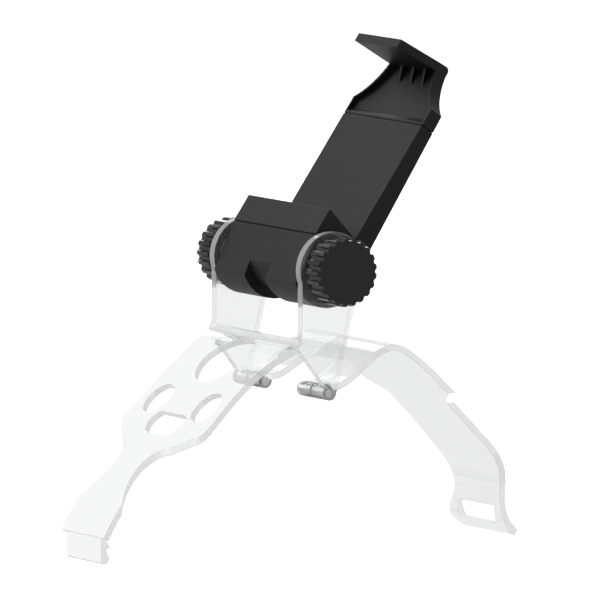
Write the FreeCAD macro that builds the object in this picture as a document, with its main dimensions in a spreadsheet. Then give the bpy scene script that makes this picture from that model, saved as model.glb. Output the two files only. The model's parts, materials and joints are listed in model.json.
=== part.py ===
import FreeCAD, Part
import math
import os

# Controller phone clip: a clear two-part bracket that folds round the middle of a game
# controller, and a black sprung phone clamp held between its ears by two fluted knobs.
# X runs along the knob axis, Y away from the player, Z up. Millimetres and degrees.

V = FreeCAD.Vector
doc = FreeCAD.newDocument("controller_phone_clip")

SIZES = (
    # clamp as a whole
    ("axis_height", 77.3),
    ("lean_angle", 35.0),
    ("barrel_radius", 10.5),
    ("barrel_step", 0.9),
    ("plate_offset", 3.3),
    ("plate_thickness", 4.1),
    ("back_taper", 2.4),
    ("seam_height", 47.8),
    ("seam_bevel", 0.25),
    ("front_edge_round", 0.4),
    ("lip_reach", 11.9),
    ("lip_root_height", 11.0),
    ("lip_rise", 2.75),
    ("lip_face_height", 7.85),
    ("lip_groove_depth", 0.5),
    ("lip_groove_height", 0.7),
    ("face_taper", 9.5),
    ("relief_radius", 8.1),
    ("relief_width", 11.0),
    ("relief_turn", 205.0),
    # inside of the plate
    ("plate_wall", 1.0),
    ("side_wall", 1.6),
    ("screw_land", 3.7),
    ("cover_thickness", 1.1),
    ("slide_gap", 0.1),
    ("tongue_width", 31.0),
    ("tongue_length", 36.6),
    ("jaw_travel", 30.0),
    ("stop_radius", 0.9),
    ("stop_below_seam", 3.6),
    ("spring_radius", 0.6),
    ("spring_offset", 10.0),
    ("spring_gap", 0.3),
    ("post_radius", 0.45),
    ("screw_radius", 0.8),
    ("screw_head_radius", 1.4),
    ("screw_head_depth", 0.5),
    ("boss_radius", 1.7),
    ("screw_row_gap", 3.4),
    # upper jaw
    ("jaw_collar", 0.8),
    ("jaw_foot_height", 5.1),
    ("jaw_hook_height", 16.7),
    ("jaw_neck_width", 25.0),
    ("jaw_rim", 0.9),
    ("tray_depth", 1.5),
    ("tray_top_depth", 2.2),
    ("hook_reach", 13.5),
    ("hook_width", 22.4),
    ("hook_thickness", 2.4),
    ("hook_dip", 1.2),
    ("hook_round", 1.2),
    ("gusset_thickness", 1.0),
    ("gusset_spacing", 6.1),
    ("gusset_drop", 5.1),
    # bolt, knobs and washers
    ("bolt_radius", 2.0),
    ("running_gap", 0.05),
    ("ear_gap", 0.15),
    ("washer_thickness", 1.0),
    ("washer_radius", 6.0),
    ("side_gap", 0.06),
    ("knob_radius", 9.3),
    ("knob_width", 6.5),
    ("knob_boss", 0.8),
    ("knob_end_wall", 1.6),
    ("knob_round", 0.7),
    ("flute_count", 21.0),
    ("flute_radius", 0.85),
    ("flute_depth", 0.85),
    ("insert_radius", 3.4),
    ("insert_length", 4.4),
    # ears and hinge of the clear bracket
    ("ear_radius", 10.2),
    ("ear_setback", 0.3),
    ("ear_thickness", 2.4),
    ("ear_stem_front", 9.3),
    ("ear_stem_back", 6.9),
    ("ear_stem_drop", 10.5),
    ("ear_end_lean", 26.0),
    ("bead_reach", 10.0),
    ("bead_drop", 19.6),
    ("bead_radius", 1.1),
    ("hinge_forward", 0.7),
    ("hinge_drop", 33.3),
    ("hinge_radius", 2.0),
    ("hinge_pin_radius", 1.1),
    ("hinge_pin_inset", 1.0),
    ("knuckle_inner", 10.0),
    ("knuckle_split", 17.0),
    ("knuckle_gap", 0.15),
    ("web_height", 4.0),
    # front arm, each run forward and fall down from the place before it
    ("arm_wall", 1.8),
    ("fold_run", 16.7),
    ("fold_fall", 11.4),
    ("plate_bulge", 0.7),
    ("lobe_run", 10.8),
    ("lobe_fall", 10.2),
    ("neck_run", 12.1),
    ("neck_fall", 10.6),
    ("knee_run", 8.0),
    ("knee_fall", 9.0),
    ("end_run", 5.8),
    ("end_fall", 9.1),
    ("lobe_width", 44.4),
    ("neck_width", 13.0),
    ("neck_corner", 4.2),
    ("front_end_width", 23.0),
    ("home_hole_radius", 9.3),
    ("home_hole_place", 9.4),
    ("menu_hole_radius", 5.2),
    ("menu_hole_spacing", 25.8),
    ("menu_hole_place", 7.9),
    ("share_slot_length", 16.8),
    ("share_slot_width", 7.8),
    ("share_slot_place", 15.6),
    ("hook_strip_width", 18.6),
    ("hook_strip_wall", 1.6),
    ("hook_strip_inset", 0.5),
    ("barb_depth", 1.1),
    # rear arm, each run back and fall down from the place before it
    ("crest_run", 20.7),
    ("crest_drop", 21.4),
    ("saddle_width", 44.0),
    ("root_gap_depth", 13.0),
    ("saddle_tail", 2.0),
    ("shoulder_run", 17.5),
    ("shoulder_fall", 12.5),
    ("band_width", 30.6),
    ("band_run", 16.0),
    ("band_fall", 16.1),
    ("heel_run", 7.6),
    ("heel_fall", 14.4),
    ("heel_width", 24.0),
    ("window_width", 19.4),
    ("window_height", 4.6),
    ("window_above_tip", 4.1),
    ("window_frame_width", 28.8),
    ("lip_run", 3.1),
    ("lip_fall", 11.0),
)

sheet = doc.addObject("Spreadsheet::Sheet", "sizes")
for row, (alias, number) in enumerate(SIZES, start=1):
    sheet.set("A%d" % row, str(number))
    sheet.setAlias("A%d" % row, alias)
doc.recompute()


def size(alias):
    return float(sheet.get(alias))


# Drawing helpers
class Outline:
    """A closed outline of lines, arcs and smooth curves in a sketch's plane."""

    def __init__(self, start):
        self.first = V(start[0], start[1], 0)
        self.here = self.first
        self.edges = []

    def line(self, *points):
        for point in points:
            there = V(point[0], point[1], 0)
            self.edges.append(Part.LineSegment(self.here, there))
            self.here = there
        return self

    def arc(self, middle, end):
        there = V(end[0], end[1], 0)
        self.edges.append(Part.Arc(self.here, V(middle[0], middle[1], 0), there))
        self.here = there
        return self

    def curve(self, *points):
        poles = [self.here] + [V(point[0], point[1], 0) for point in points]
        spline = Part.BSplineCurve()
        spline.interpolate(poles)
        self.edges.append(spline)
        self.here = poles[-1]
        return self

    def close(self):
        if self.here.distanceToPoint(self.first) > 1e-6:
            self.edges.append(Part.LineSegment(self.here, self.first))
        return self.edges


def circle(centre, radius):
    return [Part.Circle(V(centre[0], centre[1], 0), V(0, 0, 1), radius)]


def rectangle(left, bottom, right, top):
    return Outline((left, bottom)).line((right, bottom), (right, top), (left, top)).close()


def mirror_x(side_sign, points):
    return [(side_sign * x, y) for x, y in points]


def part_way(start, end, shares):
    """The point at these shares of the way from start to end."""
    return (start[0] + shares[0] * (end[0] - start[0]), start[1] + shares[1] * (end[1] - start[1]))


def beside(points, distance):
    """Points beside a smooth curve through the given points, to the left of its run."""
    spline = Part.BSplineCurve()
    spline.interpolate([V(x, y, 0) for x, y in points])
    shifted = []
    for x, y in points:
        run = spline.tangent(spline.parameter(V(x, y, 0)))[0]
        shifted.append((x - run.y * distance, y + run.x * distance))
    return shifted


def tangent_point(origin, centre, radius, turn):
    """Where a line from origin touches a circle; turn is +1 or -1 for the two sides."""
    away = math.atan2(origin[1] - centre[1], origin[0] - centre[0])
    reach = math.dist(origin, centre)
    angle = away + turn * math.acos(radius / reach)
    return (centre[0] + radius * math.cos(angle), centre[1] + radius * math.sin(angle))


# Right half of a rounded opening, as shares of its half length and half width
SHIELD = ((0.72, 1.0), (0.93, 0.74), (1.0, 0.2), (0.82, -0.62), (0.42, -1.0))


def shield(half_length, half_width):
    """A rounded opening with a long straight upper side and a short lower one."""
    corners = [(x * half_length, y * half_width) for x, y in SHIELD]
    straight, upper, widest, lower, foot = corners
    outline = Outline(mirror_x(-1, [straight])[0]).line(straight).arc(upper, widest).arc(lower, foot)
    outline.line(mirror_x(-1, [foot])[0])
    outline.arc(*mirror_x(-1, [lower, widest])).arc(*mirror_x(-1, [upper, straight]))
    return outline.close()


# Reach of each arm, as sums of its steps
FRONT_REACH = ("sizes.bead_reach + sizes.fold_run + sizes.lobe_run + sizes.neck_run"
               " + sizes.knee_run + sizes.end_run")
REAR_REACH = "sizes.crest_run + sizes.shoulder_run + sizes.band_run + sizes.heel_run + sizes.lip_run"
CLAMP_WIDTH = "sizes.tongue_width + 2 * sizes.screw_land + 2 * sizes.side_wall"


# Feature helpers
def body(label, leaning=False):
    """A body whose own frame is centred on the knob axis; a leaning one tilts with the clamp."""
    piece = doc.addObject("PartDesign::Body", label)
    piece.Label = label
    if leaning:
        piece.Placement = FreeCAD.Placement(V(0, 0, 0), FreeCAD.Rotation(V(-1, 0, 0), size("lean_angle")))
        piece.setExpression("Placement.Rotation.Angle", "sizes.lean_angle")
    piece.setExpression("Placement.Base.y", "(%s - (%s)) / 2" % (FRONT_REACH, REAR_REACH))
    piece.setExpression("Placement.Base.z", "sizes.axis_height")
    return piece


def sketch(piece, name, role, edges, offset=None):
    """A sketch on one of the body's own origin planes, moved off it by a placement."""
    plane = [feature for feature in piece.Origin.OriginFeatures if feature.Role == role][0]
    drawing = piece.newObject("Sketcher::SketchObject", piece.Label + "_" + name)
    drawing.AttachmentSupport = [(plane, "")]
    drawing.MapMode = "FlatFace"
    if offset is not None:
        drawing.AttachmentOffset = offset
    drawing.addGeometry(edges, False)
    return drawing


def lift(distance):
    return FreeCAD.Placement(V(0, 0, distance), FreeCAD.Rotation())


def feature(piece, kind, drawing, length, symmetric=False, backward=False):
    """A pad or pocket; length is a number or an expression of the sheet's sizes."""
    solid = piece.newObject("PartDesign::" + kind, drawing.Name + "_" + kind.lower())
    solid.Profile = drawing
    if symmetric:
        solid.SideType = "Symmetric"
    if isinstance(length, str):
        solid.setExpression("Length", length)
    else:
        solid.Length = length
    solid.Reversed = backward
    doc.recompute()
    return solid


def pad(piece, drawing, length, symmetric=False, backward=False):
    return feature(piece, "Pad", drawing, length, symmetric, backward)


def pocket(piece, drawing, length, symmetric=False, backward=False):
    before = piece.Shape.Volume
    cut = feature(piece, "Pocket", drawing, length, symmetric, backward)
    if piece.Shape.Volume > before - 1e-3:
        raise RuntimeError(drawing.Label + " cuts nothing")
    return cut


def turned(piece, kind, drawing, axis, angle, symmetric=False):
    """A revolution or groove about one of the sketch's own axes."""
    solid = piece.newObject("PartDesign::" + kind, drawing.Name + "_" + kind.lower())
    solid.Profile = drawing
    solid.ReferenceAxis = (drawing, [axis])
    solid.Angle = angle
    solid.Midplane = symmetric
    doc.recompute()
    return solid


LONG = 200.0

# Places shared by several pieces, in the clamp's own frame
cavity_half = size("tongue_width") / 2 + size("screw_land")
clamp_half = cavity_half + size("side_wall")
barrel_half = clamp_half + size("barrel_step")
seam = size("seam_height")
plate_front = size("plate_offset")
plate_back = plate_front + size("plate_thickness")
cavity_front = plate_front + size("plate_wall")
cover_front = plate_back - size("cover_thickness")
tongue_front = cavity_front + size("slide_gap")
tongue_back = cover_front - size("slide_gap")
tongue_bottom = seam - size("tongue_length")
cavity_bottom = tongue_bottom - 4 * size("slide_gap")
stop_height = seam - size("stop_below_seam")
spring_depth = 2 * size("spring_radius") + size("slide_gap")
spring_middle = tongue_back - size("spring_radius")
spring_top_post = seam - 2 * size("post_radius") - size("spring_gap")
spring_low_post = cavity_bottom + size("post_radius") + size("spring_gap")
boss_out = cavity_half - size("screw_head_radius") - 4 * size("slide_gap")
screw_rows = (cavity_bottom + size("screw_row_gap"), seam - size("screw_row_gap"))
screw_places = [(side * boss_out, level) for side in (-1, 1) for level in screw_rows]


def back_at(level):
    """Depth of the clamp's back, which leans forward as it rises."""
    return plate_back + (seam - level) * math.tan(math.radians(size("back_taper")))


def head_top(level):
    """Depth of a cover screw's head, just below the sloping back."""
    return back_at(level + size("screw_head_radius"))


# Places along the knob axis
ear_inner = barrel_half + size("ear_gap")
ear_outer = ear_inner + size("ear_thickness")
washer_inner = ear_outer + size("side_gap")
washer_outer = washer_inner + size("washer_thickness")
boss_face = washer_outer + size("side_gap")
knob_inner = boss_face + size("knob_boss")
knob_outer = knob_inner + size("knob_width")
bore_end = knob_outer - size("knob_end_wall")

# Places shared by the two clear arms, in the bracket's own frame
hinge = (-size("hinge_forward"), -size("hinge_drop"))
wall = size("arm_wall")


def soften(piece, name, kind, length, chosen):
    """Rounds or bevels the edges of a piece for which chosen(edge) is true."""
    before = piece.Tip
    names = ["Edge%d" % (number + 1) for number, edge in enumerate(before.Shape.Edges) if chosen(edge)]
    if not names:
        raise RuntimeError(name + " finds no edge")
    done = piece.newObject("PartDesign::" + kind, piece.Label + "_" + name)
    done.Base = (before, names)
    if kind == "Fillet":
        done.Radius = length
    else:
        done.Size = length
    piece.Tip = done
    doc.recompute()
    return done


def bore(piece, name, role, centre, radius, start=-LONG, length=2 * LONG, backward=False):
    """A round hole square to an origin plane, from start along that plane's normal."""
    drawing = sketch(piece, name, role, circle(centre, radius), lift(start))
    return pocket(piece, drawing, length, backward=backward)


def upright_front_edge(edge):
    """A long upright edge of the clamp's front."""
    first = edge.Vertexes[0].Point
    last = edge.Vertexes[-1].Point
    return (abs(abs(first.x) - clamp_half) < 0.01 and abs(first.x - last.x) < 0.01
            and abs(first.y - plate_front) < 0.01 and abs(last.y - plate_front) < 0.01
            and abs(first.z - last.z) > 1)


def at_seam(edge):
    """An edge that lies in the seam between the two jaws."""
    return all(abs(vertex.Point.z - seam) < 0.01 for vertex in edge.Vertexes)


# Lower jaw: barrel, lip and the hollow plate in one moulding
def make_lower_jaw():
    jaw = body("lower_jaw", leaning=True)
    radius = size("barrel_radius")
    plate = Outline((plate_front, 0)).line((plate_front, seam), (plate_back, seam), (back_at(0), 0))
    pad(jaw, sketch(jaw, "plate", "YZ_Plane", plate.close()), CLAMP_WIDTH, symmetric=True)
    soften(jaw, "front_round", "Fillet", size("front_edge_round"), upright_front_edge)
    soften(jaw, "seam_bevel", "Chamfer", size("seam_bevel"), at_seam)

    # barrel and lip, a little wider than the plate
    lip_front = plate_front - size("lip_reach")
    crest = size("lip_root_height") + size("lip_rise")
    crease = crest - size("lip_face_height")
    depth = size("lip_groove_depth")
    below = crease - size("lip_groove_height")
    # the front face leans in by the taper until it meets the barrel
    taper = math.radians(size("face_taper"))
    run = (math.sin(taper), -math.cos(taper))
    start = (lip_front + size("lip_groove_height") * math.tan(taper), below)
    along = -(start[0] * run[0] + start[1] * run[1])
    gap = math.dist((start[0] + along * run[0], start[1] + along * run[1]), (0, 0))
    reach = along + math.sqrt(radius ** 2 - gap ** 2)
    chin = (start[0] + reach * run[0], start[1] + reach * run[1])
    side = Outline((plate_front, size("lip_root_height")))
    side.line((lip_front, crest), (lip_front, crease), (lip_front + depth, crease),
              (lip_front + depth, below), start, chin)
    side.arc((0, -radius), (radius, 0))
    slant = radius * math.sqrt(0.5)
    side.arc((slant, slant), (plate_front, math.sqrt(radius ** 2 - plate_front ** 2)))
    pad(jaw, sketch(jaw, "side", "YZ_Plane", side.close()), CLAMP_WIDTH + " + 2 * sizes.barrel_step",
        symmetric=True)

    # shallow ring cut round the middle of the barrel; it fades out on the front face
    half = size("relief_width") / 2
    ring = sketch(jaw, "relief", "XZ_Plane",
                  rectangle(-half, -2 * radius, half, -size("relief_radius")))
    turned(jaw, "Groove", ring, "H_Axis", size("relief_turn"), symmetric=True)

    # hollow for the sliding tongue, open at the top and closed behind by the cover
    hollow = sketch(jaw, "hollow", "XZ_Plane",
                    rectangle(-cavity_half, cavity_bottom, cavity_half, 2 * seam), lift(-cavity_front))
    pocket(jaw, hollow, LONG)
    for number, place in enumerate(screw_places):
        boss = sketch(jaw, "boss%d" % number, "XZ_Plane", circle(place, size("boss_radius")),
                      lift(-cover_front))
        pad(jaw, boss, "sizes.plate_thickness - sizes.cover_thickness - sizes.plate_wall / 2")
        bore(jaw, "screw_bore%d" % number, "XZ_Plane", place, size("screw_radius"),
             start=-cavity_front, length=LONG)
    bore(jaw, "stop_bore", "XZ_Plane", (0, stop_height), size("stop_radius"),
         start=-(plate_front + size("plate_wall") / 2), length=LONG)
    bore(jaw, "bolt_bore", "YZ_Plane", (0, 0), size("bolt_radius") + size("running_gap"),
         start=LONG)
    return jaw


# Rear cover: wedge-shaped plate let into the back of the lower jaw
def make_rear_cover():
    cover = body("rear_cover", leaning=True)
    low = cavity_bottom + size("slide_gap")
    bevel = size("seam_bevel")
    side = Outline((cover_front, low)).line((cover_front, seam), (plate_back - bevel, seam),
                                            (back_at(seam - bevel), seam - bevel), (back_at(low), low))
    pad(cover, sketch(cover, "plate", "YZ_Plane", side.close()),
        CLAMP_WIDTH + " - 2 * sizes.side_wall - 2 * sizes.slide_gap", symmetric=True)
    for number, place in enumerate(screw_places):
        bore(cover, "screw_bore%d" % number, "XZ_Plane", place,
             size("screw_radius") + size("running_gap"), start=-cover_front, length=LONG)
        bore(cover, "head_bore%d" % number, "XZ_Plane", place,
             size("screw_head_radius") + size("running_gap"),
             start=-(head_top(place[1]) - size("screw_head_depth")), length=LONG)
    bore(cover, "stop_bore", "XZ_Plane", (0, stop_height), size("stop_radius"),
         start=-(cover_front + size("cover_thickness") / 2), backward=True, length=LONG)
    for number, side in enumerate((-1, 1)):
        bore(cover, "post_bore%d" % number, "XZ_Plane", (side * size("spring_offset"), spring_low_post),
             size("post_radius"), start=-(cover_front + size("cover_thickness") / 2),
             backward=True, length=LONG)
    return cover


# Upper jaw: scalloped tray with a ribbed hook above and the sliding tongue below
FLANK_CURVE = ((1.0, 0.0), (0.38, 0.40), (0.09, 0.78))


def make_upper_jaw():
    jaw = body("upper_jaw", leaning=True)
    bevel = size("seam_bevel")
    collar = seam + size("jaw_collar")
    foot = seam + size("jaw_foot_height")
    under = seam + size("jaw_hook_height")
    top = under + size("hook_thickness")
    tip = plate_front - size("hook_reach")
    tip_level = under - size("hook_dip")
    tray_low = (plate_front + size("tray_depth"), collar + size("tray_depth"))
    tray_high = (plate_front + size("tray_top_depth"), under)
    turn = size("hook_round")
    lean = turn * (1 - math.sqrt(0.5))
    side = Outline((plate_front, seam)).line((plate_front, collar), tray_low, tray_high, (tip, tip_level),
                                             (tip, tip_level + size("hook_thickness")),
                                             (back_at(top) - turn, top))
    side.arc((back_at(top) - lean, top - lean), (back_at(top - turn), top - turn))
    side.line((plate_back, seam))
    pad(jaw, sketch(jaw, "side", "YZ_Plane", side.close()), CLAMP_WIDTH, symmetric=True)

    # both flanks are scooped in from the foot to the narrow neck under the hook
    neck = size("jaw_neck_width") / 2
    clear = clamp_half + size("hook_reach")
    flank = [(neck + out * (clamp_half - neck), foot + up * (under - foot)) for out, up in FLANK_CURVE]
    flank.append((neck, under))
    for number, side_sign in enumerate((-1, 1)):
        scoop = Outline((side_sign * flank[0][0], flank[0][1]))
        scoop.curve(*mirror_x(side_sign, flank[1:]))
        scoop.line(*mirror_x(side_sign, [(neck, 2 * top), (clear, 2 * top), (clear, foot)]))
        pocket(jaw, sketch(jaw, "scoop%d" % number, "XZ_Plane", scoop.close()), LONG, symmetric=True)

        # a thin rim follows the scooped edge at the height of the plate's front face
        inner = [(x - size("jaw_rim"), z) for x, z in reversed(flank)]
        rim = Outline((side_sign * clamp_half, collar))
        rim.line((side_sign * flank[0][0], foot)).curve(*mirror_x(side_sign, flank[1:]))
        rim.line((side_sign * inner[0][0], under)).curve(*mirror_x(side_sign, inner[1:]))
        rim.line((side_sign * inner[-1][0], collar))
        pad(jaw, sketch(jaw, "rim%d" % number, "XZ_Plane", rim.close(), lift(-plate_front)),
            "sizes.tray_top_depth + sizes.seam_bevel", backward=True)

        # the hook narrows towards its tip
        hook_half = size("hook_width") / 2
        taper = Outline((side_sign * neck, plate_front)).line(
            *mirror_x(side_sign, [(hook_half, tip), (hook_half, 2 * tip), (clear, 2 * tip),
                                  (clear, plate_front)]))
        pocket(jaw, sketch(jaw, "taper%d" % number, "XY_Plane", taper.close()), LONG, backward=True)

    soften(jaw, "front_round", "Fillet", size("front_edge_round"), upright_front_edge)
    soften(jaw, "seam_bevel", "Chamfer", bevel, at_seam)

    # thin gussets stiffen the hook's root
    low = under - size("gusset_drop")
    slope = (tray_high[0] - tray_low[0]) / (under - tray_low[1])
    floor_at_low = tray_low[0] + slope * (low - tray_low[1])
    brace = Outline((plate_front, under)).line((tray_high[0] + bevel, under), (floor_at_low + bevel, low))
    brace = brace.close()
    for number in (-1, 0, 1):
        place = lift(number * size("gusset_spacing"))
        pad(jaw, sketch(jaw, "gusset%d" % (number + 1), "YZ_Plane", brace, place),
            "sizes.gusset_thickness", symmetric=True)

    # tongue that runs inside the plate, slotted for the stop and channelled for the springs
    tongue = sketch(jaw, "tongue", "XZ_Plane",
                    rectangle(-size("tongue_width") / 2, tongue_bottom, size("tongue_width") / 2, collar),
                    lift(-tongue_back))
    pad(jaw, tongue, tongue_back - tongue_front)
    play = size("running_gap")
    slit_half = size("stop_radius") + play
    slit = rectangle(-slit_half, stop_height - size("jaw_travel") - slit_half, slit_half,
                     stop_height + slit_half)
    pocket(jaw, sketch(jaw, "slit", "XZ_Plane", slit, lift(-plate_front)), LONG)
    for number, side_sign in enumerate((-1, 1)):
        middle = side_sign * size("spring_offset")
        half = size("spring_radius") + size("spring_gap")
        channel = sketch(jaw, "channel%d" % number, "XZ_Plane",
                         rectangle(middle - half, cavity_bottom, middle + half,
                                   spring_top_post + size("post_radius") + size("spring_gap")),
                         lift(-(tongue_back - spring_depth)))
        pocket(jaw, channel, spring_depth + size("slide_gap") / 2)
        bore(jaw, "post_bore%d" % number, "XZ_Plane", (middle, spring_top_post), size("post_radius"),
             start=-(tongue_front - size("slide_gap") / 2), length=tongue_back - tongue_front)
    return jaw


def make_stop_pin():
    pin = body("stop_pin", leaning=True)
    front = plate_front + size("plate_wall") / 2
    back = cover_front + size("cover_thickness") / 2
    drawing = sketch(pin, "round", "XZ_Plane", circle((0, stop_height), size("stop_radius")), lift(-front))
    pad(pin, drawing, back - front, backward=True)
    return pin


def make_posts(label, level, front, back):
    """Two steel pins that hold one end of both springs."""
    pins = body(label, leaning=True)
    rings = []
    for side_sign in (-1, 1):
        rings += circle((side_sign * size("spring_offset"), level), size("post_radius"))
    pad(pins, sketch(pins, "rounds", "XZ_Plane", rings, lift(-front)), back - front, backward=True)
    return pins


# Pull springs: close-wound coils drawn as a ribbed tube
SPRING_RIBS = 8


def make_spring(label, side_sign):
    spring = body(label, leaning=True)
    low = spring_low_post + size("post_radius") + size("slide_gap")
    high = spring_top_post - size("post_radius") - size("slide_gap")
    pitch = (high - low) / SPRING_RIBS
    outer = size("spring_radius")
    inner = outer / 2
    waist = (inner + outer) / 2
    outline = Outline((inner, low)).line((waist, low))
    for turn in range(SPRING_RIBS):
        outline.line((outer, low + (turn + 0.5) * pitch), (waist, low + (turn + 1) * pitch))
    outline.line((inner, high))
    place = FreeCAD.Placement(V(spring_middle, 0, side_sign * size("spring_offset")), FreeCAD.Rotation())
    coils = sketch(spring, "coils", "YZ_Plane", outline.close(), place)
    turned(spring, "Revolution", coils, "V_Axis", 360)
    return spring


# Cover screws: four small countersunk screws in one node
def make_cover_screws():
    screws = body("cover_screws", leaning=True)
    for number, place in enumerate(screw_places):
        top = head_top(place[1])
        seat = top - size("screw_head_depth")
        head = sketch(screws, "head%d" % number, "XZ_Plane", circle(place, size("screw_head_radius")),
                      lift(-top))
        pad(screws, head, "sizes.screw_head_depth")
        shank = circle(place, size("screw_radius") - size("running_gap") / 2)
        pad(screws, sketch(screws, "shank%d" % number, "XZ_Plane", shank, lift(-seat)),
            seat - cavity_front - size("plate_wall") / 4)
    return screws


# Clamp bolt: one threaded rod through the barrel, both ears and both knobs
def make_clamp_bolt():
    bolt = body("clamp_bolt", leaning=True)
    reach = bore_end - size("slide_gap")
    radius = size("bolt_radius")
    bevel = radius / 5
    outline = Outline((-reach, 0)).line((-reach, radius - bevel), (-reach + bevel, radius),
                                        (reach - bevel, radius), (reach, radius - bevel), (reach, 0))
    turned(bolt, "Revolution", sketch(bolt, "length", "XY_Plane", outline.close()), "H_Axis", 360)
    return bolt


# Knobs: fluted grips with a collar against the washer and a blind bore for the insert
def make_knob(label, side_sign):
    knob = body(label, leaning=True)
    radius = size("knob_radius")
    soft = size("knob_round")
    edge = soft / 3
    bore_radius = size("insert_radius") + size("running_gap") / 2
    collar = size("washer_radius") - size("knob_boss") / 2
    points = [(boss_face, bore_radius), (boss_face, collar), (knob_inner, collar),
              (knob_inner, radius - edge), (knob_inner + edge, radius), (knob_outer - soft, radius)]
    outline = Outline(mirror_x(side_sign, points[:1])[0]).line(*mirror_x(side_sign, points[1:]))
    lean = math.sqrt(0.5) * soft
    round_end = mirror_x(side_sign, [(knob_outer - soft + lean, radius - soft + lean),
                                     (knob_outer, radius - soft)])
    outline.arc(round_end[0], round_end[1])
    outline.line(*mirror_x(side_sign, [(knob_outer, 0), (bore_end, 0), (bore_end, bore_radius)]))
    turned(knob, "Revolution", sketch(knob, "turning", "XY_Plane", outline.close()), "H_Axis", 360)

    flute = circle((radius - size("flute_depth") + size("flute_radius"), 0), size("flute_radius"))
    start = min(side_sign * knob_inner, side_sign * knob_outer) - soft
    first = sketch(knob, "flute", "YZ_Plane", flute, lift(start))
    cut = pocket(knob, first, "sizes.knob_width + 2 * sizes.knob_round", backward=True)
    ring = knob.newObject("PartDesign::PolarPattern", knob.Label + "_flutes")
    ring.Originals = [cut]
    ring.Axis = (first, ["N_Axis"])
    ring.Angle = 360
    ring.setExpression("Occurrences", "sizes.flute_count")
    knob.Tip = ring
    doc.recompute()
    return knob


def make_ring(label, side_sign, inner_x, thickness, outer_radius, hole_radius, leaning=True):
    """A round collar on the knob axis, from inner_x outwards."""
    collar = body(label, leaning=leaning)
    start = min(side_sign * inner_x, side_sign * (inner_x + thickness))
    faces = circle((0, 0), outer_radius) + circle((0, 0), hole_radius)
    pad(collar, sketch(collar, "faces", "YZ_Plane", faces, lift(start)), thickness)
    return collar


# Front bracket: ears, cross bead, button plate and latch hook in one clear moulding
# Edge of the button plate, as distances across from and along past each place
LOBE_CORNER = ((-0.7, -14.8), (0.0, -0.4), (-0.8, 1.4), (-2.8, 2.6))
NECK_CURVE = ((1.4, -1.4), (0.4, -0.9), (0.0, 0.0), (0.3, 1.0))
# Snap barbs, as shares of the strip's height and of the barb's depth
BARBS = ((0.20, 1), (0.48, 0), (0.64, 1), (0.86, 0))


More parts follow.
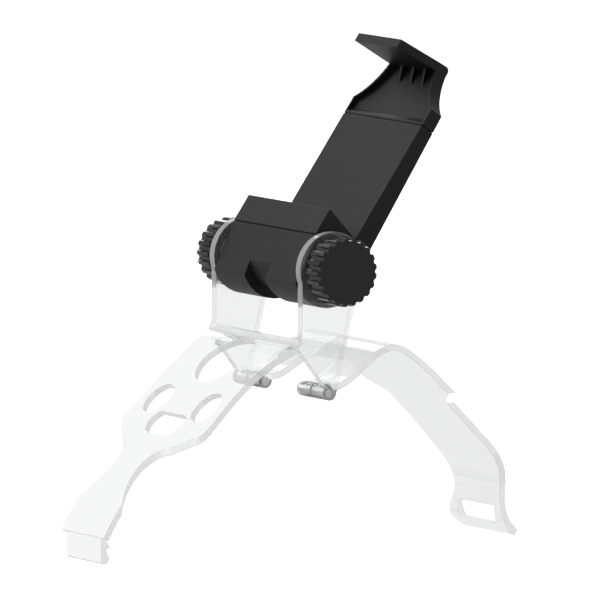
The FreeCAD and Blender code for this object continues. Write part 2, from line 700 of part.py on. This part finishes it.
def make_front_bracket():
    bracket = body("front_bracket")
    bead = (-size("bead_reach"), -size("bead_drop"))
    sweep = [bead]
    for name in ("fold", "lobe", "neck", "knee", "end"):
        sweep.append((sweep[-1][0] - size(name + "_run"), sweep[-1][1] - size(name + "_fall")))
    fold, lobe_place, neck_place, knee_place, end_place = sweep[1:]
    slope = math.atan2(bead[1] - fold[1], bead[0] - fold[0])
    bulge = size("plate_bulge")
    middle = part_way(bead, fold, (0.5, 0.5))
    sweep.insert(1, (middle[0] - bulge * math.sin(slope), middle[1] + bulge * math.cos(slope)))
    under = beside(sweep, wall)
    side = Outline(bead).curve(*sweep[1:]).line(under[-1]).curve(*reversed(under[:-1]))
    pad(bracket, sketch(bracket, "arm", "YZ_Plane", side.close()), 2 * ear_outer, symmetric=True)

    # the plate is wide round the buttons, narrow at the neck and wider again at the hook
    lobe = size("lobe_width") / 2
    neck = size("neck_width") / 2
    end = size("front_end_width") / 2
    corner = size("neck_corner")
    past = end_place[0] - corner
    for number, side_sign in enumerate((-1, 1)):
        swell, start, through, leave = mirror_x(
            side_sign, [(lobe + out, lobe_place[0] - on) for out, on in LOBE_CORNER])
        waist = mirror_x(side_sign, [(neck + out * corner, neck_place[0] - on * corner)
                                     for out, on in NECK_CURVE])
        edge = Outline((side_sign * ear_outer, bead[0])).curve(swell, start).arc(through, leave)
        edge.line(waist[0]).curve(*waist[1:], (side_sign * end, knee_place[0]))
        edge.line(*mirror_x(side_sign, [(end, past), (lobe + corner, past), (lobe + corner, bead[0])]))
        pocket(bracket, sketch(bracket, "outline%d" % number, "XY_Plane", edge.close()), LONG,
               symmetric=True)

    # button openings, square to the plate on each side of the fold
    upper = math.degrees(slope)
    lower = math.degrees(math.atan2(fold[1] - lobe_place[1], fold[0] - lobe_place[0]))
    spread = size("menu_hole_spacing") / 2
    openings = (
        ("home_hole", upper, size("home_hole_place"), circle((0, 0), size("home_hole_radius"))),
        ("menu_holes", lower, -size("menu_hole_place"),
         circle((-spread, 0), size("menu_hole_radius")) + circle((spread, 0), size("menu_hole_radius"))),
        ("share_slot", lower, -size("share_slot_place"),
         shield(size("share_slot_length") / 2, size("share_slot_width") / 2)),
    )
    for name, tilt, along, shape in openings:
        turn = math.radians(tilt)
        centre = V(0, fold[0] + along * math.cos(turn), fold[1] + along * math.sin(turn))
        place = FreeCAD.Placement(centre, FreeCAD.Rotation(V(1, 0, 0), tilt))
        pocket(bracket, sketch(bracket, name, "XY_Plane", shape, place), 8 * wall, symmetric=True)

    # latch strip with two snap barbs on its inner side, down to the floor
    inset = size("hook_strip_inset")
    outer = end_place[0] + inset
    inner = outer + size("hook_strip_wall")
    top = end_place[1] + wall / 2
    floor = -size("axis_height")
    rise = end_place[1] - floor
    barbs = [(inner + depth * size("barb_depth"), floor + share * rise) for share, depth in BARBS]
    strip = Outline((outer, top)).line((outer, floor + inset), (outer + inset, floor), (inner, floor))
    strip.line(*barbs).line((inner, top))
    pad(bracket, sketch(bracket, "strip", "YZ_Plane", strip.close()), "sizes.hook_strip_width",
        symmetric=True)

    # cross bead along the top of the plate
    centre = (bead[0] + size("bead_radius") / 5, bead[1] + size("bead_radius") / 5)
    pad(bracket, sketch(bracket, "bead", "YZ_Plane", circle(centre, size("bead_radius"))),
        2 * ear_inner + size("ear_thickness"), symmetric=True)

    # ears with their knuckles; the stem runs down to the hinge in straight lines
    head = size("ear_radius")
    setback = size("ear_setback")
    front = -size("ear_stem_front")
    stem = (size("ear_stem_back"), -size("ear_stem_drop"))
    neck_level = -math.sqrt(head ** 2 - (front - setback) ** 2)
    flare = 3 * size("bead_radius")
    heel = (bead[0], bead[1] - wall)
    radius = size("hinge_radius")
    aim = math.atan2(heel[1] - hinge[1], heel[0] - hinge[0])
    front_touch = (hinge[0] + radius * math.cos(aim), hinge[1] + radius * math.sin(aim))
    back_touch = tangent_point(stem, hinge, radius, -1)
    release = math.radians(-size("ear_end_lean"))
    leave = (setback + head * math.cos(release), head * math.sin(release))
    hollow = part_way(leave, stem, (0.6, 0.5))
    for number, side_sign in enumerate((-1, 1)):
        ear = Outline((front, neck_level)).arc((setback, head), leave).arc(hollow, stem).line(back_touch)
        ear.arc((hinge[0], hinge[1] - radius), front_touch).line(heel, bead)
        ear.arc((front - flare / 12, bead[1] + flare / 2), (front, bead[1] + flare))
        start = min(side_sign * ear_inner, side_sign * ear_outer)
        pad(bracket, sketch(bracket, "ear%d" % number, "YZ_Plane", ear.close(), lift(start)),
            "sizes.ear_thickness")
        split = size("knuckle_split") + size("knuckle_gap")
        knuckle_end = ear_inner + size("ear_thickness") / 4
        start = min(side_sign * split, side_sign * knuckle_end)
        knuckle = sketch(bracket, "knuckle%d" % number, "YZ_Plane", circle(hinge, radius), lift(start))
        pad(bracket, knuckle, knuckle_end - split)
        rise = size("web_height")
        web = Outline((side_sign * knuckle_end, hinge[1] + rise))
        web.curve(*mirror_x(side_sign, [(ear_inner - size("ear_thickness") / 3, hinge[1] + rise / 2),
                                        (split, hinge[1] + rise / 5)]))
        web.line((side_sign * split, hinge[1]), (side_sign * knuckle_end, hinge[1]))
        pad(bracket, sketch(bracket, "web%d" % number, "XZ_Plane", web.close(),
                            lift(-(hinge[0] + radius / 2))), "sizes.hinge_radius")
        bore(bracket, "pin_bore%d" % number, "YZ_Plane", hinge,
             size("hinge_pin_radius") + size("running_gap"), start=0,
             length=ear_outer - size("hinge_pin_inset"), backward=side_sign > 0)
    bore(bracket, "bolt_bore", "YZ_Plane", (0, 0), size("bolt_radius") + 2 * size("running_gap"),
         start=LONG)
    return bracket


# Rear arm: forked root on the hinge, raised saddle, band and latch window, clear moulding
# Places between the named ones, as shares of the way
RAMP = ((0.41, 0.30), (0.70, 0.78))
BROW = (0.38, 0.24)
BEND = (0.76, 0.53)
ANKLE = (-0.14, 0.50)
FORK_CORNER = 0.6
BAND_STEP = 0.48


def make_rear_arm():
    arm = body("rear_arm")
    root = (hinge[0], hinge[1] + size("hinge_radius"))
    crest = (size("crest_run"), -size("crest_drop"))
    places = [crest]
    for name in ("shoulder", "band", "heel", "lip"):
        places.append((places[-1][0] + size(name + "_run"), places[-1][1] - size(name + "_fall")))
    shoulder, band, heel, tip = places[1:]
    ramp = [part_way(root, crest, shares) for shares in RAMP]
    bend = part_way(band, heel, BEND)
    outer = [root] + ramp + [crest, part_way(crest, shoulder, BROW), shoulder, band, bend, heel,
                             part_way(heel, tip, ANKLE), tip]
    under = beside(outer, -wall)
    side = Outline(root).curve(*outer[1:]).line(under[-1]).curve(*reversed(under[:-1]))
    pad(arm, sketch(arm, "side", "YZ_Plane", side.close()), "sizes.saddle_width", symmetric=True)
    for number, side_sign in enumerate((-1, 1)):
        start = min(side_sign * size("knuckle_inner"), side_sign * size("knuckle_split"))
        pad(arm, sketch(arm, "knuckle%d" % number, "YZ_Plane", circle(hinge, size("hinge_radius")),
                        lift(start)), "sizes.knuckle_split - sizes.knuckle_inner")

    # the root is forked, and stands clear of the front bracket's knuckles
    gap = size("knuckle_inner")
    depth = size("root_gap_depth")
    corner = FORK_CORNER * gap
    lean = corner * (1 - math.sqrt(0.5))
    fork = Outline((-gap, -gap)).line((gap, -gap), (gap, depth - corner))
    fork.arc((gap - lean, depth - lean), (gap - corner, depth)).line((corner - gap, depth))
    fork.arc((lean - gap, depth - lean), (-gap, depth - corner))
    pocket(arm, sketch(arm, "fork", "XY_Plane", fork.close()), LONG, symmetric=True)
    clear_back = hinge[0] + size("hinge_radius") + 5 * size("knuckle_gap")
    outside = size("saddle_width") / 2
    beyond = outside + gap
    for number, side_sign in enumerate((-1, 1)):
        notch = Outline((side_sign * size("knuckle_split"), -gap))
        notch.line((side_sign * beyond, -gap), (side_sign * beyond, clear_back),
                   (side_sign * size("knuckle_split"), clear_back))
        pocket(arm, sketch(arm, "notch%d" % number, "XY_Plane", notch.close()), LONG, symmetric=True)

    # outline from the front: wide saddle, stepped to the band, flared round the window
    half = size("band_width") / 2
    heel_half = size("heel_width") / 2
    frame_half = size("window_frame_width") / 2
    window = tip[1] + size("window_above_tip")
    round_off = size("window_height") / 4
    tail = shoulder[1] - size("saddle_tail")
    for number, side_sign in enumerate((-1, 1)):
        edge = Outline((side_sign * outside, tail))
        edge.line(*mirror_x(side_sign, [(half, tail - BAND_STEP * (outside - half)),
                                        (half, band[1] + wall)]))
        edge.curve(*mirror_x(side_sign, [(half - wall / 2, bend[1]), (heel_half, heel[1] - wall),
                                         (frame_half - wall / 3, window),
                                         (frame_half, tip[1] + round_off)]))
        edge.line(*mirror_x(side_sign, [(frame_half - round_off, tip[1]),
                                        (frame_half - 2 * round_off, -LONG), (beyond, -LONG),
                                        (beyond, tail)]))
        pocket(arm, sketch(arm, "outline%d" % number, "XZ_Plane", edge.close()), LONG, symmetric=True)
    opening = rectangle(-size("window_width") / 2, window - size("window_height") / 2,
                        size("window_width") / 2, window + size("window_height") / 2)
    pocket(arm, sketch(arm, "window", "XZ_Plane", opening), LONG)
    bore(arm, "pin_bore", "YZ_Plane", hinge, size("hinge_pin_radius") + size("running_gap"), start=LONG)
    return arm


# Hinge pins: plain steel pins, one through each pair of knuckles
def make_hinge_pin(label, side_sign):
    pin = body(label)
    inner = size("knuckle_inner") + size("slide_gap")
    outer = ear_outer - size("hinge_pin_inset") - size("slide_gap")
    start = min(side_sign * inner, side_sign * outer)
    pad(pin, sketch(pin, "round", "YZ_Plane", circle(hinge, size("hinge_pin_radius")), lift(start)),
        outer - inner)
    return pin


make_front_bracket()
make_rear_arm()
make_lower_jaw()
make_rear_cover()
make_upper_jaw()
make_stop_pin()
make_posts("spring_posts", spring_low_post, spring_middle - size("spring_radius"),
           cover_front + size("cover_thickness") / 2)
make_posts("jaw_posts", spring_top_post, tongue_front + size("slide_gap"), tongue_back)
make_cover_screws()
make_clamp_bolt()
washer_hole = size("bolt_radius") + 2 * size("running_gap")
insert_hole = size("bolt_radius") + size("running_gap")
for side_name, side_sign in (("left", -1), ("right", 1)):
    make_hinge_pin("hinge_pin_" + side_name, side_sign)
    make_spring("jaw_spring_" + side_name, side_sign)
    make_knob("knob_" + side_name, side_sign)
    make_ring("knob_insert_" + side_name, side_sign, bore_end - size("insert_length"),
              size("insert_length"), size("insert_radius"), insert_hole)
    make_ring("washer_" + side_name, side_sign, washer_inner, size("washer_thickness"),
              size("washer_radius"), washer_hole)
doc.recompute()

# Every object is sound before anything is written
pieces = [item for item in doc.Objects if item.TypeId == "PartDesign::Body"]
for item in doc.Objects:
    if "Invalid" in item.State or "Error" in item.State:
        raise RuntimeError(item.Label + " failed")
os.makedirs("parts", exist_ok=True)
for piece in pieces:
    if piece.Shape.isNull() or not piece.Shape.isValid() or not piece.Shape.Solids:
        raise RuntimeError(piece.Label + " has no sound shape")
for piece in pieces:
    piece.Shape.exportStep("parts/%s.step" % piece.Label)
    print(piece.Label, len(piece.Shape.Solids), "solids", round(piece.Shape.Volume, 1), "mm3")
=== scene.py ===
import json
import math

import bpy
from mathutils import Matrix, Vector

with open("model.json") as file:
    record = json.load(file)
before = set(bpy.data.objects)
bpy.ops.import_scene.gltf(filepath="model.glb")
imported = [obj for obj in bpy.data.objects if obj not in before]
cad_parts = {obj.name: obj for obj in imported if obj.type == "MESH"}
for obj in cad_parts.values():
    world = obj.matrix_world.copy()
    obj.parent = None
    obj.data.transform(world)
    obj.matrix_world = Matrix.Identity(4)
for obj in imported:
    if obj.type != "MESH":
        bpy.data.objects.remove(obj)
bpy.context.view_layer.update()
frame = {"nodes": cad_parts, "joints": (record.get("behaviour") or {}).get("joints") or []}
nodes = frame["nodes"]
joints = {joint["name"]: joint for joint in frame["joints"]}
MM = 0.001

# Places that the joints give: the knob axis, the rear arm's hinge and the way the upper jaw slides
KNOB_AXIS = Vector(joints["clamp_tilt"]["pos_m"])
ARM_HINGE = Vector(joints["rear_arm_hinge"]["pos_m"])
JAW_SLIDE = Vector(joints["jaw_slide"]["axis"])

# Camera: a long lens, so that the view is almost parallel, as in the photograph
IMAGE_SIDE = 600
PIXELS_PER_MM = 3.71
AXIS_PIXEL = (286.5, 261.7)
AZIMUTH = 59.6
ELEVATION = 6.2
DISTANCE = 4.0
SENSOR = 36.0
NEAREST = 0.1
FARTHEST = 50.0

# Studio
FLOOR_SIDE = 40.0
FLOOR_GAP = 0.05 * MM
FLOOR_GLOW = 0.75
STUDIO_GREY = (0.8, 0.8, 0.8, 1)
WORLD_LEVEL = 0.27

# Plastic: how much the light bends, and the rounding of the moulded edges
PLASTIC_IOR = 1.5
BLACK_EDGE = 0.18 * MM
CLEAR_EDGE = 0.5 * MM

# Clear plastic: the tint of a broad face and the painted shade at its darkest edge, the milk in it, and
# what a shadow lets through
FACE_TINT = (0.975, 0.977, 0.979)
PAINTED_EDGE_SHADE = (0.4, 0.402, 0.405)
MILK = (0.85, 0.85, 0.85, 1)
MOST_MILK = 0.6
BENT_TINT = (0.96, 0.96, 0.96, 1)
SHADOW_TINT = (0.93, 0.935, 0.94, 1)

# Painted shade on the narrow sides, and the share of light that bends on its way in
BRACKET_PAINTED_SIDE_SHADE = 0.52
EAR_PAINTED_SIDE_SHADE = 0.62
ARM_PAINTED_SIDE_SHADE = 0.28
BENT_SHARE = 0.4
BENT_IN_SLEEVES = 0.75
SLEEVE_RADIUS = 2.0 * MM

# Directions in which the broad faces look, and the line behind which the bracket is its ears
BRACKET_BROAD = (0, -0.77, 0.64)
ARM_BROAD = (0, 0.5, 0.87)
EAR_BROAD = (1, 0, 0)
EAR_LINE = -12 * MM

# Cosine from the broad direction to what looks like a narrow side, and to what looks like a broad face
NARROW_FACE = 0.5
BROAD_FACE = 0.8

# Cosine from a face's own normal to the rounded one, at a sharp edge and clear of it
AT_EDGE = 0.74
OFF_EDGE = 0.97

# Cover screws: their places along the leaning jaw and across it, and their cross slots, bumped in and
# darkened with painted shade
SCREW_MIDDLE = 92.19 * MM
SCREW_STEP = 15.1 * MM
SCREW_SIDE = 17.4 * MM
SLOT_LENGTH = 1.7 * MM
SLOT_WIDTH = 0.42 * MM
# Painted shade in the cross slots: their colour is scaled down to this
SLOT_PAINTED_SHADE = 0.12

# Lines left on metal by drawing or turning it: how many a metre along each axis
DRAWN = (300, 6000, 6000)


def direction(azimuth, elevation):
    """From the object towards this azimuth and elevation, in degrees."""
    a = math.radians(azimuth)
    e = math.radians(elevation)
    return Vector((math.sin(a) * math.cos(e), -math.cos(a) * math.cos(e), math.sin(e)))


def aim(name, data, place, back):
    """Adds a camera or lamp that looks against the direction back."""
    made = bpy.data.objects.new(name, data)
    made.location = place
    made.rotation_mode = "QUATERNION"
    made.rotation_quaternion = (-back).to_track_quat("-Z", "Y")
    bpy.context.scene.collection.objects.link(made)
    return made


def add_camera():
    """The view of the photograph, with the knob axis at its pixel."""
    a = math.radians(AZIMUTH)
    back = direction(AZIMUTH, ELEVATION)
    right = Vector((math.cos(a), math.sin(a), 0))
    up = back.cross(right)
    off_right = (IMAGE_SIDE / 2 - AXIS_PIXEL[0]) / PIXELS_PER_MM * MM
    off_up = (AXIS_PIXEL[1] - IMAGE_SIDE / 2) / PIXELS_PER_MM * MM
    target = KNOB_AXIS + off_right * right + off_up * up
    data = bpy.data.cameras.new("camera")
    data.sensor_width = SENSOR
    data.lens = SENSOR * DISTANCE / (IMAGE_SIDE / PIXELS_PER_MM * MM)
    data.clip_start = NEAREST
    data.clip_end = FARTHEST
    bpy.context.scene.camera = aim("camera", data, target + back * DISTANCE, back)


def add_light(name, azimuth, elevation, distance, side, power):
    """A square soft box that looks at the knob axis."""
    back = direction(azimuth, elevation)
    data = bpy.data.lights.new(name, "AREA")
    data.shape = "SQUARE"
    data.size = side
    data.energy = power
    aim(name, data, KNOB_AXIS + back * distance, back)


class Nodes:
    """The nodes of a material or world, with short calls to add more."""

    def __init__(self, owner, output="ShaderNodeOutputMaterial"):
        owner.use_nodes = True
        self.owner = owner
        self.tree = owner.node_tree
        self.tree.nodes.clear()
        self.output = self.node(output)

    def node(self, kind, sockets=None, **properties):
        """Adds a node. A socket, by name or number, takes a value or another node's output."""
        made = self.tree.nodes.new(kind)
        for key, value in properties.items():
            setattr(made, key, value)
        for key, value in (sockets or {}).items():
            if isinstance(value, bpy.types.NodeSocket):
                self.tree.links.new(value, made.inputs[key])
            else:
                made.inputs[key].default_value = value
        return made

    def first(self, kind, sockets=None, **properties):
        """The first output of a new node."""
        return self.node(kind, sockets, **properties).outputs[0]

    def complete(self, shader):
        """Gives the material or world its shader, and returns it."""
        self.tree.links.new(shader, self.output.inputs["Surface"])
        return self.owner

    def place(self):
        """The point's place on the object, in metres."""
        return self.node("ShaderNodeTexCoord").outputs["Object"]

    def rays(self, *kinds):
        """Above 0 for a ray of any of these kinds."""
        path = self.node("ShaderNodeLightPath")
        found = path.outputs[kinds[0]]
        for kind in kinds[1:]:
            found = self.maths("MAXIMUM", found, path.outputs[kind])
        return found

    def maths(self, operation, first, second=0.0):
        """One sum on two numbers."""
        return self.first("ShaderNodeMath", {0: first, 1: second}, operation=operation)

    def vectors(self, operation, first, second=(0, 0, 0)):
        """One sum on vectors, which gives a number for a length or a dot product."""
        made = self.node("ShaderNodeVectorMath", {0: first, 1: second}, operation=operation)
        return made.outputs["Value" if operation in ("LENGTH", "DOT_PRODUCT") else "Vector"]

    def ramp(self, value, low, high, from_low=0.0, from_high=1.0):
        """The value, brought from one range to another."""
        return self.first("ShaderNodeMapRange", {
            "Value": value, "From Min": from_low, "From Max": from_high, "To Min": low, "To Max": high})

    def colours(self, value, low, high, from_low=0.3, from_high=0.7):
        """A colour between two, by value."""
        made = self.node("ShaderNodeValToRGB", {"Fac": value})
        for element, place, colour in zip(made.color_ramp.elements, (from_low, from_high), (low, high)):
            element.position = place
            element.color = (*colour, 1)
        return made.outputs["Color"]

    def noise(self, per_metre, detail=3.0, roughness=0.5):
        """Noise with this many features a metre, one number or one for each axis."""
        if isinstance(per_metre, (int, float)):
            per_metre = (per_metre,) * 3
        place = self.first("ShaderNodeMapping", {"Vector": self.place(), "Scale": per_metre})
        made = self.node("ShaderNodeTexNoise", {
            "Vector": place, "Scale": 1.0, "Detail": detail, "Roughness": roughness})
        return made.outputs["Fac"]

    def bump(self, height, distance, strength, before=None):
        """A bump of this height in metres, over another one if there is one."""
        sockets = {"Height": height, "Distance": distance, "Strength": strength}
        if before:
            sockets["Normal"] = before
        return self.first("ShaderNodeBump", sockets)

    def mix(self, share, first, second):
        """The first shader, with this share of the second."""
        return self.first("ShaderNodeMixShader", {0: share, 1: first, 2: second})


def add_floor():
    """A plain white floor that runs to the horizon and keeps a soft shadow."""
    m = Nodes(bpy.data.materials.new("floor"))
    diffuse = m.first("ShaderNodeBsdfDiffuse", {"Color": STUDIO_GREY})
    glow = m.first("ShaderNodeEmission", {"Strength": FLOOR_GLOW})
    lit = m.first("ShaderNodeAddShader", {0: diffuse, 1: glow})
    by_camera = m.mix(m.rays("Is Camera Ray"), diffuse, lit)
    white = m.first("ShaderNodeEmission", {"Strength": 1.0})
    seen_through = m.rays("Is Transmission Ray", "Is Glossy Ray", "Transparent Depth")
    mesh = bpy.data.meshes.new("floor")
    side = FLOOR_SIDE / 2
    corners = [(-side, -side, 0), (side, -side, 0), (side, side, 0), (-side, side, 0)]
    mesh.from_pydata(corners, [], [(0, 1, 2, 3)])
    mesh.materials.append(m.complete(m.mix(seen_through, by_camera, white)))
    floor = bpy.data.objects.new("floor", mesh)
    floor.location.z = -FLOOR_GAP
    bpy.context.scene.collection.objects.link(floor)


def add_world():
    """White behind the object and in what shines; a plain grey light on it."""
    m = Nodes(bpy.data.worlds.new("studio"), "ShaderNodeOutputWorld")
    light = m.first("ShaderNodeBackground", {"Color": STUDIO_GREY, "Strength": WORLD_LEVEL})
    white = m.first("ShaderNodeBackground", {"Strength": 1.0})
    seen = m.rays("Is Camera Ray", "Is Transmission Ray", "Is Glossy Ray")
    bpy.context.scene.world = m.complete(m.mix(seen, light, white))


def dress(names, material):
    """Gives CAD nodes a material."""
    for name in names:
        for slot in nodes[name].material_slots:
            slot.material = material


def black_plastic(name, low, high, roughness, shine, grain):
    """Satin moulded plastic with a fine spark-eroded grain and faint flow marks."""
    m = Nodes(bpy.data.materials.new(name))
    flow = m.noise(90, detail=4)
    rounded = m.first("ShaderNodeBevel", {"Radius": BLACK_EDGE}, samples=6)
    return m.complete(m.first("ShaderNodeBsdfPrincipled", {
        "Base Color": m.colours(flow, low, high),
        "Roughness": m.ramp(flow, roughness - 0.015, roughness + 0.02, 0.3, 0.7),
        "IOR": PLASTIC_IOR,
        "Specular IOR Level": shine,
        "Normal": m.bump(m.noise(grain, detail=2, roughness=0.6), 0.02 * MM, 0.5, rounded)}))


def narrow_sides(m, broad):
    """1 on the narrow sides of a plate whose broad faces look along this direction, 0 on those faces."""
    normal = m.node("ShaderNodeTexCoord").outputs["Normal"]
    facing = m.maths("ABSOLUTE", m.vectors("DOT_PRODUCT", normal, Vector(broad).normalized()))
    return m.ramp(facing, 1.0, 0.0, NARROW_FACE, BROAD_FACE)


def clear_plastic(name, broad, side_painted_shade, with_ears=False):
    """Clear moulded plastic: see-through faces, painted shade on the narrow sides and rounded edges, and
    a little milk.
    """
    m = Nodes(bpy.data.materials.new(name))
    geometry = m.node("ShaderNodeNewGeometry")
    outside = m.maths("SUBTRACT", 1.0, geometry.outputs["Backfacing"])

    # Rounded edges, which get painted shade: where the rounded normal leaves the face's own
    rounded = m.first("ShaderNodeBevel", {"Radius": CLEAR_EDGE}, samples=8)
    alike = m.maths("ABSOLUTE", m.vectors("DOT_PRODUCT", rounded, geometry.outputs["True Normal"]))
    edge = m.ramp(alike, 1.0, 0.0, AT_EDGE, OFF_EDGE)
    edge_seen = outside

    # Painted shade: the narrow sides are darker than the broad faces, and the ears' painted edge shade
    # also shows through the plastic
    side = narrow_sides(m, broad)
    if with_ears:
        depth = m.node("ShaderNodeSeparateXYZ", {0: m.place()}).outputs["Y"]
        on_ears = m.ramp(depth, 0.0, 1.0, EAR_LINE - CLEAR_EDGE, EAR_LINE + CLEAR_EDGE)
        side = m.first("ShaderNodeMix", {0: on_ears, 2: side, 3: narrow_sides(m, EAR_BROAD)})
        side_painted_shade = m.ramp(on_ears, side_painted_shade, EAR_PAINTED_SIDE_SHADE)
        edge_seen = m.maths("MAXIMUM", outside, on_ears)
    painted_shade = m.maths("MAXIMUM", m.maths("MULTIPLY", m.maths("MULTIPLY", side, side_painted_shade), outside),
                   m.maths("MULTIPLY", edge, edge_seen))

    # Light that goes straight through, darkened by the painted shade, and milk that scatters some of it,
    # with more milk where the painted shade is
    tint_and_painted_shade = m.colours(painted_shade, FACE_TINT, PAINTED_EDGE_SHADE, 0.0, 1.0)
    straight = m.first("ShaderNodeBsdfTransparent", {"Color": tint_and_painted_shade})
    milk = m.first("ShaderNodeBsdfDiffuse", {"Color": MILK})
    cloud = m.maths("MINIMUM", m.ramp(painted_shade, 0.2, 1.1), MOST_MILK)
    body = m.mix(m.maths("MULTIPLY", cloud, outside), straight, milk)

    # Light that bends: a part of what comes in, and most of it in the hinge sleeves
    marks = m.ramp(m.noise(700, detail=6, roughness=0.7), 0.05, 0.1, 0.45, 0.75)
    wavy = m.bump(m.noise(60, detail=2), 0.04 * MM, 0.5, rounded)
    bent = m.first("ShaderNodeBsdfRefraction", {
        "Color": BENT_TINT, "Roughness": marks, "IOR": PLASTIC_IOR, "Normal": wavy})
    from_hinge = m.vectors("MULTIPLY", m.vectors("SUBTRACT", m.place(), ARM_HINGE), (0, 1, 1))
    in_sleeves = m.ramp(m.vectors("LENGTH", from_hinge), BENT_IN_SLEEVES, 0.0,
                        1.1 * SLEEVE_RADIUS, 1.3 * SLEEVE_RADIUS)
    through = m.mix(m.maths("MAXIMUM", m.maths("MULTIPLY", outside, BENT_SHARE), in_sleeves), body, bent)

    # Gloss that grows towards a grazing view
    gloss = m.first("ShaderNodeBsdfGlossy", {"Roughness": marks, "Normal": wavy})
    grazing = m.node("ShaderNodeLayerWeight", {"Blend": 0.5, "Normal": wavy}).outputs["Facing"]
    shine = m.ramp(m.maths("POWER", grazing, 5.0), 0.04, 0.2)
    glossy = m.mix(m.maths("MULTIPLY", shine, outside), through, gloss)

    shadow = m.first("ShaderNodeBsdfTransparent", {"Color": SHADOW_TINT})
    return m.complete(m.mix(m.rays("Is Shadow Ray"), glossy, shadow))


def cross_recess(m):
    """1 in the cross slots of the four cover screws, worked out from the place of the nearest one."""
    along = m.maths("ABSOLUTE", m.maths("SUBTRACT", m.vectors("DOT_PRODUCT", m.place(), JAW_SLIDE),
                                        SCREW_MIDDLE))
    across = m.maths("ABSOLUTE", m.node("ShaderNodeSeparateXYZ", {0: m.place()}).outputs["X"])
    up = m.maths("ABSOLUTE", m.maths("SUBTRACT", along, SCREW_STEP))
    out = m.maths("ABSOLUTE", m.maths("SUBTRACT", across, SCREW_SIDE))

    def slot(from_line, from_middle):
        """Below 1 inside one slot, from the distances to its middle line and to its middle."""
        return m.maths("MAXIMUM", m.maths("DIVIDE", from_line, SLOT_WIDTH / 2),
                       m.maths("DIVIDE", from_middle, SLOT_LENGTH / 2))

    return m.ramp(m.maths("MINIMUM", slot(out, up), slot(up, out)), 1.0, 0.0, 0.8, 1.15)


def metal(name, low, high, roughness, driven=False):
    """Turned or drawn metal with fine lines along X; a driven one has cross slots, bumped and darkened
    with painted shade.
    """
    m = Nodes(bpy.data.materials.new(name))
    colour = m.colours(m.noise(400, detail=5), low, high)
    recess = None
    if driven:
        slot = cross_recess(m)
        # Painted shade: the colour is darkened in the cross slots
        slot_painted_shade = m.ramp(slot, 1.0, SLOT_PAINTED_SHADE)
        colour = m.first("ShaderNodeVectorMath", {0: colour, "Scale": slot_painted_shade}, operation="SCALE")
        recess = m.bump(m.ramp(slot, 1.0, 0.0), SLOT_WIDTH, 0.7)
    lines = m.noise(DRAWN)
    return m.complete(m.first("ShaderNodeBsdfPrincipled", {
        "Base Color": colour,
        "Metallic": 1.0,
        "Roughness": m.ramp(lines, roughness - 0.08, roughness + 0.12, 0.3, 0.7),
        "Normal": m.bump(lines, 0.01 * MM, 0.4, recess)}))


add_camera()
add_floor()
add_world()
add_light("key", -30, 45, distance=1.2, side=0.9, power=13)
add_light("fill", 100, 35, distance=1.6, side=1.0, power=3)
add_light("rim", -112, 32, distance=1.4, side=0.5, power=5)
bpy.context.scene.view_settings.view_transform = "Standard"

# Clear pieces: their material paints shade on the narrow sides and rounded edges
dress(["front_bracket"],
      clear_plastic("clear_bracket_and_painted_edge_shade", BRACKET_BROAD, BRACKET_PAINTED_SIDE_SHADE, with_ears=True))
dress(["rear_arm"],
      clear_plastic("clear_arm_and_painted_edge_shade", ARM_BROAD, ARM_PAINTED_SIDE_SHADE))
dress(["lower_jaw", "rear_cover", "upper_jaw"],
      black_plastic("jaw_plastic_finish", (0.0065, 0.0065, 0.0068), (0.0078, 0.0078, 0.0081),
                    roughness=0.5, shine=0.16, grain=2600))
dress(["knob_left", "knob_right"],
      black_plastic("knob_plastic_finish", (0.0045, 0.0045, 0.0047), (0.006, 0.006, 0.0062),
                    roughness=0.2, shine=0.24, grain=2200))
# Cover screws: their material paints shade in the cross slots
dress(["cover_screws"],
      metal("screw_metal_and_painted_slot_shade", (0.42, 0.42, 0.43), (0.55, 0.55, 0.56), roughness=0.32, driven=True))
dress(["clamp_bolt", "stop_pin", "spring_posts", "jaw_posts", "jaw_spring_left",
       "jaw_spring_right", "washer_left", "washer_right"],
      metal("steel_finish", (0.5, 0.5, 0.51), (0.62, 0.62, 0.63), roughness=0.3))
dress(["hinge_pin_left", "hinge_pin_right"],
      metal("pin_finish", (0.4, 0.4, 0.405), (0.5, 0.5, 0.505), roughness=0.35))
dress(["knob_insert_left", "knob_insert_right"],
      metal("brass_finish", (0.66, 0.47, 0.2), (0.8, 0.6, 0.3), roughness=0.3))
